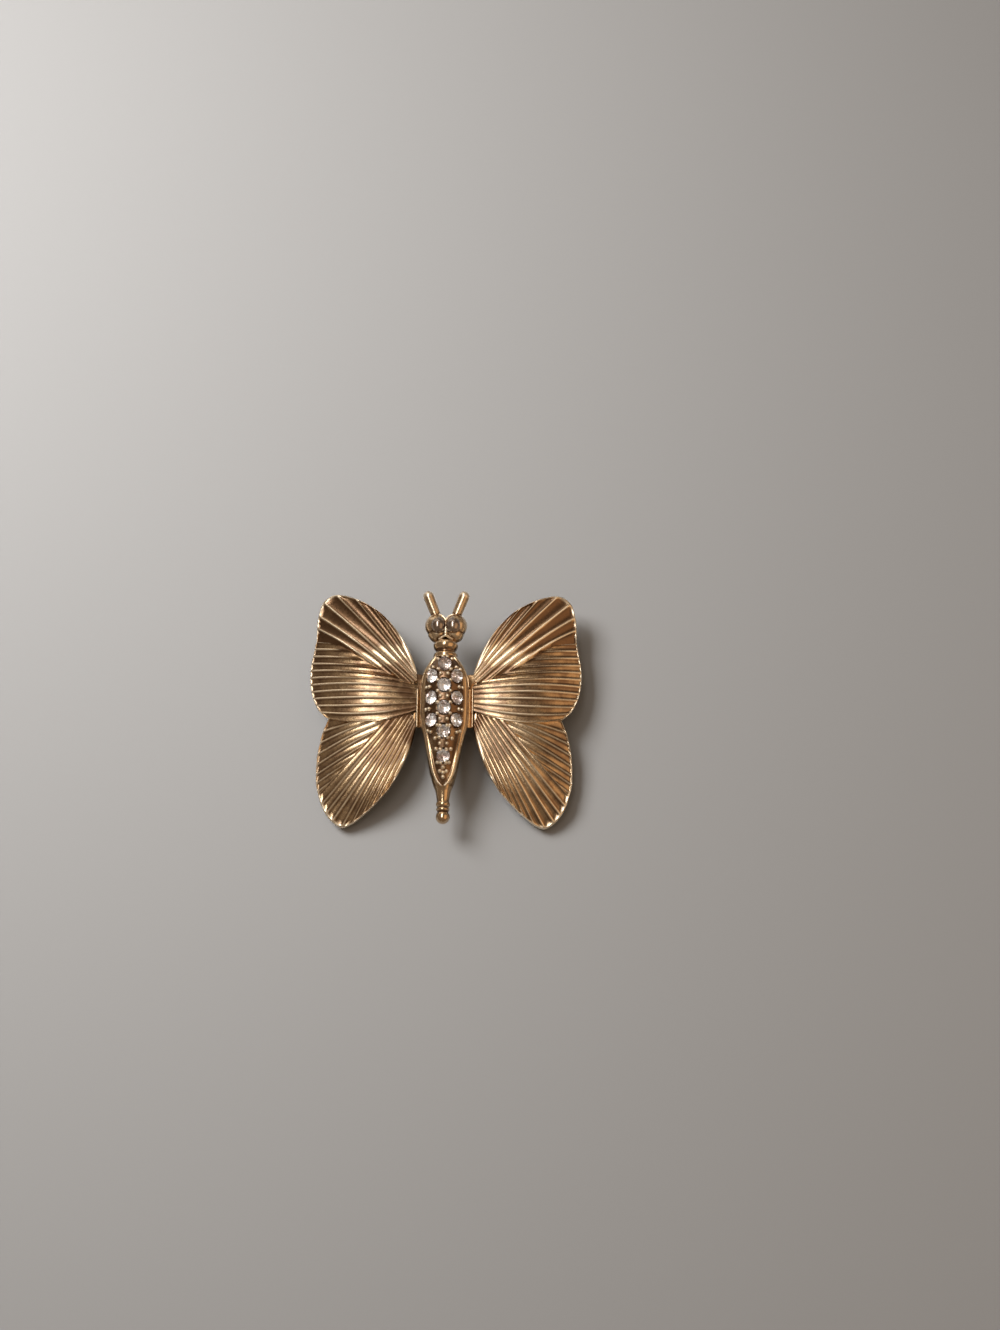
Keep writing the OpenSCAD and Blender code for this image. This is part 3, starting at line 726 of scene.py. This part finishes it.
def ringShape(name, radius, tube, place, segments=64):
    bm = bmesh.new()
    upright = Matrix.Rotation(math.pi / 2, 4, "X")
    made = bmesh.ops.create_circle(bm, segments=16, radius=tube, matrix=upright)
    bmesh.ops.translate(bm, vec=(radius, 0, 0), verts=made["verts"])
    bmesh.ops.spin(bm, geom=bm.verts[:] + bm.edges[:], cent=(0, 0, 0), axis=(0, 0, 1), angle=2 * math.pi,
                   steps=segments, use_merge=True)
    bmesh.ops.recalc_face_normals(bm, faces=bm.faces[:])
    bmesh.ops.transform(bm, matrix=place, verts=bm.verts[:])
    return newObject(name, meshFrom(name, bm))


def buildSpindle():
    shapes = [spindleShape()]
    for side in (1, -1):
        shapes.append(slopedBox("flange", body["flange"], side, body["flangeBevel"], body["flangeFall"],
                                patina=1))
        shapes.append(slopedBox("flangeRidge", body["flangeRidge"], side, body["ridgeBevel"], 0,
                                worn=body["ridgeWorn"]))
    casting = weld("bodySpindle", shapes)
    return settle(casting, bodyGold, "body_gold", "body", sharp=50)


spindle = buildSpindle()
print("body turned:", len(spindle.data.polygons), "faces")


# Head

head = {
    "lobe": (1.42, 13.05, 3.5, 1.74),  # x, y, z, radius
    "cheek": (1.2, 11.95, 3.4, 1.5),
    "forehead": ((-1.42, 12.9, 3.5), (1.42, 12.9, 3.5), 1.3, 1.3),  # two ends and their radii
    "eye": (1.12, 12.77, 4.6),
    "eyeRadii": (1.13, 1.28, 1.15),
    # The eyes are darkened all over: painted reflection of a dim room in their polished domes
    "eyeDarkReflection": 0.85,
    "patina": 0.55,         # of the whole head, with more in its hollows
    "brow": (1.27, 13.28, 4.5, 1.3, 0.2),  # x, y, z, ring radius, tube radius
    "browLean": -8,
    "nose": ((0, 12.9, 4.5), (0, 11.6, 4.75), 0.26, 0.3),
    "lipRidge": ((0.05, 11.25, 4.8), (0.95, 10.75, 4.5), 0.2, 0.18),
    "antenna": ((1.4, 14.3, 3.8), (2.65, 17.4, 4.3), 0.72, 0.83),
    "antennaDarkness": 0.8,
    "antennaBlend": (14.0, 15.2),  # the antennae darken between these y
    "voxel": 0.07,
}


# Marks hollows as tarnished and raised edges as worn
def ageByShape(mesh, patina, rounds=10, gain=45):
    count = len(mesh.vertices)
    place = np.empty(count * 3)
    facing = np.empty(count * 3)
    ends = np.empty(len(mesh.edges) * 2, dtype=np.int32)
    mesh.vertices.foreach_get("co", place)
    mesh.vertices.foreach_get("normal", facing)
    mesh.edges.foreach_get("vertices", ends)
    place, facing, ends = place.reshape(-1, 3), facing.reshape(-1, 3), ends.reshape(-1, 2)
    here, there = np.concatenate((ends[:, 0], ends[:, 1])), np.concatenate((ends[:, 1], ends[:, 0]))
    neighbours = np.bincount(here, minlength=count)
    soft = place.copy()
    for _ in range(rounds):
        soft = np.stack([np.bincount(here, soft[there, k], count) / neighbours for k in range(3)], axis=1)
    hollow = ((soft - place) * facing).sum(axis=1) * gain
    for name, values in (("patina", np.clip(hollow + patina, 0, 1)), ("worn", np.clip(-hollow, 0, 1))):
        layer = mesh.attributes.new(name, "FLOAT", "POINT")
        layer.data.foreach_set("value", values.astype(np.float32))


def buildHead():
    shapes = []
    for side in (1, -1):
        for part in ("lobe", "cheek"):
            x, y, z, radius = head[part]
            shapes.append(ballShape(part, (side * x, y, z), radius))
        x, y, z, radius, tube = head["brow"]
        lean = Matrix.Rotation(math.radians(head["browLean"]), 4, "X")
        shapes.append(ringShape("brow", radius, tube, Matrix.Translation((side * x, y, z)) @ lean))
        for part in ("antenna", "lipRidge"):
            start, end, *radii = head[part]
            shapes.append(rodShape(part, (side * start[0], *start[1:]), (side * end[0], *end[1:]), *radii))
    shapes.append(rodShape("forehead", *head["forehead"]))
    shapes.append(rodShape("nose", *head["nose"], segments=24))
    casting = weld("headCasting", shapes, remesh=head["voxel"], smoothing=3)
    along = [v.co.y for v in casting.data.vertices]
    patina = np.interp(along, head["antennaBlend"], (head["patina"], head["antennaDarkness"]))
    ageByShape(casting.data, patina)
    return settle(casting, bodyGold, "body_gold", sharp=60)


def buildEyes():
    x, y, z = head["eye"]
    eyes = [ballShape("eye", (side * x, y, z), 1, patina=head["eyeDarkReflection"]) for side in (1, -1)]
    for side, eye in zip((1, -1), eyes):
        centre = Vector((side * x, y, z))
        for v in eye.data.vertices:
            v.co = centre + (v.co - centre) * Vector(head["eyeRadii"])
    return settle(weld("eyeDomes", eyes), eyeGold, "body_gold", sharp=180)


buildHead()
buildEyes()
tailY, tailRadius = body["tailBall"]
settle(ballShape("tailBall", (0, tailY, plane["axisZ"]), tailRadius), bodyGold, "body_gold", sharp=180)
print("head and tail modelled")


# Beads

# Pairs stand on both sides of the middle line: y, distance from that line
beads = {
    "radius": 0.3,
    "pairs": [
        (6.14, 1.88), (-3.55, 2.05), (-4.5, 1.35), (-6.0, 1.2), (-7.95, 0.95), (-9.2, 0.55),
        (4.975, 0.55), (1.575, 0.55), (-1.8, 0.55), (-5.25, 0.55),
        (5.725, 1.0), (4.0, 1.0), (2.35, 1.0), (0.675, 1.0), (-0.975, 1.0), (-2.675, 1.0),
        (3.1, 2.35), (-0.2, 2.35), (3.1, 2.85), (-0.2, 2.85), (5.9, 2.45), (-3.3, 2.55), (7.55, 1.15),
        (7.9, 0.35), (-2.75, 0.55), (-4.4, 0.65), (-6.1, 0.5), (-8.0, 0.45),
    ],
    "single": [-8.65, -9.4, -10.0],
    "sunk": 0.27,
    # Pale all over: wear on the raised beads, and painted highlight for their glints
    "worn": 0.9,
    "segments": 14,
    "rings": 10,
}


def buildBeads():
    bm = bmesh.new()
    places = [(y, side * x) for y, x in beads["pairs"] for side in (1, -1)]
    places += [(y, 0) for y in beads["single"]]
    for y, x in places:
        angle = math.degrees(math.asin(x / bodyRadius(y)))
        bmesh.ops.create_uvsphere(bm, u_segments=beads["segments"], v_segments=beads["rings"],
                                  radius=beads["radius"], matrix=onBody(y, angle, beads["sunk"]))
    markAll(bm, {"worn": beads["worn"]})
    return settle(newObject("fieldBeads", meshFrom("fieldBeads", bm)), bodyGold, "body_gold", sharp=180)


buildBeads()


# Stones

cut = {
    "radius": 1.0,
    "table": 0.56,
    "crown": 0.359,         # a hair under the solid's, so that the stones stay inside its box
    "girdle": 0.06,
    "pavilion": 0.72,
    "starHeight": 0.58,     # as a share of the crown's
    "waist": (0.25, 0.75),  # radius, and depth as a share of the pavilion's
    "sides": 8,
}

glass = {
    "ior": 1.56,
    "foil": (1, 0.99, 0.97),
    "agedFoil": (0.64, 0.54, 0.51),
    "agedSize": 1.3,        # of the aged patches, in millimetres
    "ageing": (0.42, 0.62, 0, 1),
    "foilMetallic": 0.75,
    "foilRoughness": 0.12,
}


def glassMaterial():
    material, nodes, links, shader = startMaterial("stoneGlass")
    shader.inputs["Base Color"].default_value = (1, 1, 1, 1)
    shader.inputs["Roughness"].default_value = 0.0
    shader.inputs["IOR"].default_value = glass["ior"]
    shader.inputs["Transmission Weight"].default_value = 1
    return material


# The foil behind the stones, greyer in patches
def foilMaterial():
    material, nodes, links, shader = startMaterial("stoneFoil")
    patches = noiseOn(nodes, links, glass["agedSize"], detail=1)
    aged = mapped(nodes, links, patches, *glass["ageing"])
    colour = mixColour(nodes, links, aged, glass["foil"], glass["agedFoil"])
    links.new(colour, shader.inputs["Base Color"])
    shader.inputs["Metallic"].default_value = glass["foilMetallic"]
    shader.inputs["Roughness"].default_value = glass["foilRoughness"]
    return material


stoneGlass = glassMaterial()
stoneFoil = foilMaterial()


# A round brilliant: rings of points, with the facets between them
def brilliant(name, place):
    bm = bmesh.new()
    sides = cut["sides"]
    turn = math.pi / sides
    waistRadius, waistDepth = cut["waist"]

    def ring(count, radius, z, start=0.0):
        level = Matrix.Translation((0, 0, z)) @ Matrix.Rotation(start, 4, "Z")
        return bmesh.ops.create_circle(bm, segments=count, radius=radius, matrix=level)["verts"]

    flat = ring(sides, cut["table"], cut["crown"])
    star = ring(sides, (cut["table"] + cut["radius"]) / 2, cut["starHeight"] * cut["crown"], turn)
    upper = ring(2 * sides, cut["radius"], cut["girdle"] / 2)
    lower = ring(2 * sides, cut["radius"], -cut["girdle"] / 2)
    main = ring(sides, waistRadius, -cut["pavilion"] * waistDepth, turn)
    tip = bm.verts.new((0, 0, -cut["pavilion"]))
    faces = [flat]
    for k in range(sides):
        n = (k + 1) % sides
        faces.append((flat[k], star[k], flat[n]))
        faces.append((flat[n], star[k], upper[2 * n], star[n]))
        faces.append((star[k], upper[2 * k], upper[2 * k + 1]))
        faces.append((star[k], upper[2 * k + 1], upper[2 * n]))
        faces.append((main[k], lower[2 * k + 1], lower[2 * k]))
        faces.append((main[k], lower[2 * n], lower[2 * k + 1]))
        faces.append((main[k], main[n], lower[2 * n]))
        faces.append((tip, main[n], main[k]))
    for k in range(2 * sides):
        n = (k + 1) % (2 * sides)
        faces.append((upper[k], lower[k], lower[n], upper[n]))
    for corners in faces:
        bm.faces.new(corners)
    bmesh.ops.recalc_face_normals(bm, faces=bm.faces[:])
    for face in bm.faces:
        face.material_index = 1 if face.calc_center_median().z < -cut["girdle"] else 0
    bmesh.ops.transform(bm, matrix=laidDown @ place, verts=bm.verts[:])
    stone = newObject(name, meshFrom(name, bm))
    stone.data.materials.append(stoneGlass)
    stone.data.materials.append(stoneFoil)
    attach(stone, "root")
    return stone


for number, seat in enumerate(seats, 1):
    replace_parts(brilliant(f"brilliant{number}", seat), f"stone_{number}")
print("stones set:", len(seats))

# Pin

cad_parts["pin_back"].data.materials.clear()
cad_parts["pin_back"].data.materials.append(antiqueGold("pinGold", roughness=0.3))

# Table, lights and camera

table = {"size": 1.6, "colour": (0.39, 0.395, 0.4), "roughness": 0.6}


def buildTable():
    bm = bmesh.new()
    bmesh.ops.create_grid(bm, x_segments=1, y_segments=1, size=table["size"] / 2)
    floor = newObject("table", meshFrom("table", bm))
    material, nodes, links, shader = startMaterial("tableTop")
    shader.inputs["Base Color"].default_value = (*table["colour"], 1)
    shader.inputs["Roughness"].default_value = table["roughness"]
    floor.data.materials.append(material)


buildTable()

# Each light: the direction it comes from, its distance, width and length in metres, watts, colour,
# and whether it shows in the metal and on the table
lights = {
    "strip": {"from": (-0.205, 0.24, 0.95), "far": 0.45, "size": (0.1, 0.5), "watts": 1.12,
              "colour": (1, 0.98, 0.95), "onMetal": True, "onTable": False},
    "warmSide": {"from": (0.74, -0.12, 0.66), "far": 0.4, "size": (0.3, 0.45), "watts": 0.3,
                 "colour": (1, 0.62, 0.32), "onMetal": True, "onTable": False},
    "behind": {"from": (-0.25, 0.9, 0.42), "far": 0.4, "size": (0.5, 0.16), "watts": 0.2,
               "colour": (1, 0.93, 0.82), "onMetal": True, "onTable": False},
    "key": {"from": (-0.6, 0.42, 0.68), "far": 0.34, "size": (0.16, 0.16), "watts": 1.38,
            "colour": (1, 0.98, 0.96), "onMetal": False, "onTable": True},
}
worldLight = {"colour": (1.0, 0.77, 0.57), "strength": 0.21}


def buildLights():
    for name, light in lights.items():
        lamp = bpy.data.lights.new(name, "AREA")
        lamp.shape = "RECTANGLE"
        lamp.size, lamp.size_y = light["size"]
        lamp.energy = light["watts"]
        lamp.color = light["colour"]
        stand = newObject(name, lamp)
        direction = Vector(light["from"]).normalized()
        across = Vector((0, 1, 0)).cross(direction).normalized()
        stand.location = direction * light["far"]
        stand.rotation_euler = Matrix((across, direction.cross(across), direction)).transposed().to_euler()
        stand.visible_glossy = light["onMetal"]
        stand.visible_diffuse = light["onTable"]
    world = bpy.data.worlds.new("room")
    scene.world = world
    world.use_nodes = True
    back = world.node_tree.nodes["Background"]
    back.inputs["Color"].default_value = (*worldLight["colour"], 1)
    back.inputs["Strength"].default_value = worldLight["strength"]


buildLights()

camera = {
    "elevation": 70,            # in degrees
    "azimuth": 0.4,
    "distance": 0.2,            # in metres
    "focal": 1350,              # in pixels of the picture
    "picture": (1000, 1330),
    "aimPixel": (445, 712),     # where the aim point shows
    "aim": (0, -0.00062, 0.0037),
    "sensor": 36,
    "clip": (0.01, 10),
}


def buildCamera():
    data = bpy.data.cameras.new("camera")
    width, height = camera["picture"]
    data.sensor_width = camera["sensor"]
    data.lens = camera["sensor"] * camera["focal"] / height
    data.clip_start, data.clip_end = camera["clip"]
    thing = newObject("camera", data)
    e, a = math.radians(camera["elevation"]), math.radians(camera["azimuth"])
    back = Vector((math.sin(a) * math.cos(e), -math.cos(a) * math.cos(e), math.sin(e)))
    right = Vector((math.cos(a), math.sin(a), 0))
    up = back.cross(right)
    px, py = camera["aimPixel"]
    ray = right * ((px - width / 2) / camera["focal"]) + up * ((height / 2 - py) / camera["focal"]) - back
    thing.location = Vector(camera["aim"]) - ray.normalized() * camera["distance"]
    thing.rotation_euler = Matrix((right, up, back)).transposed().to_euler()
    scene.camera = thing


buildCamera()
scene.view_settings.view_transform = "Standard"
print("lights and camera placed")
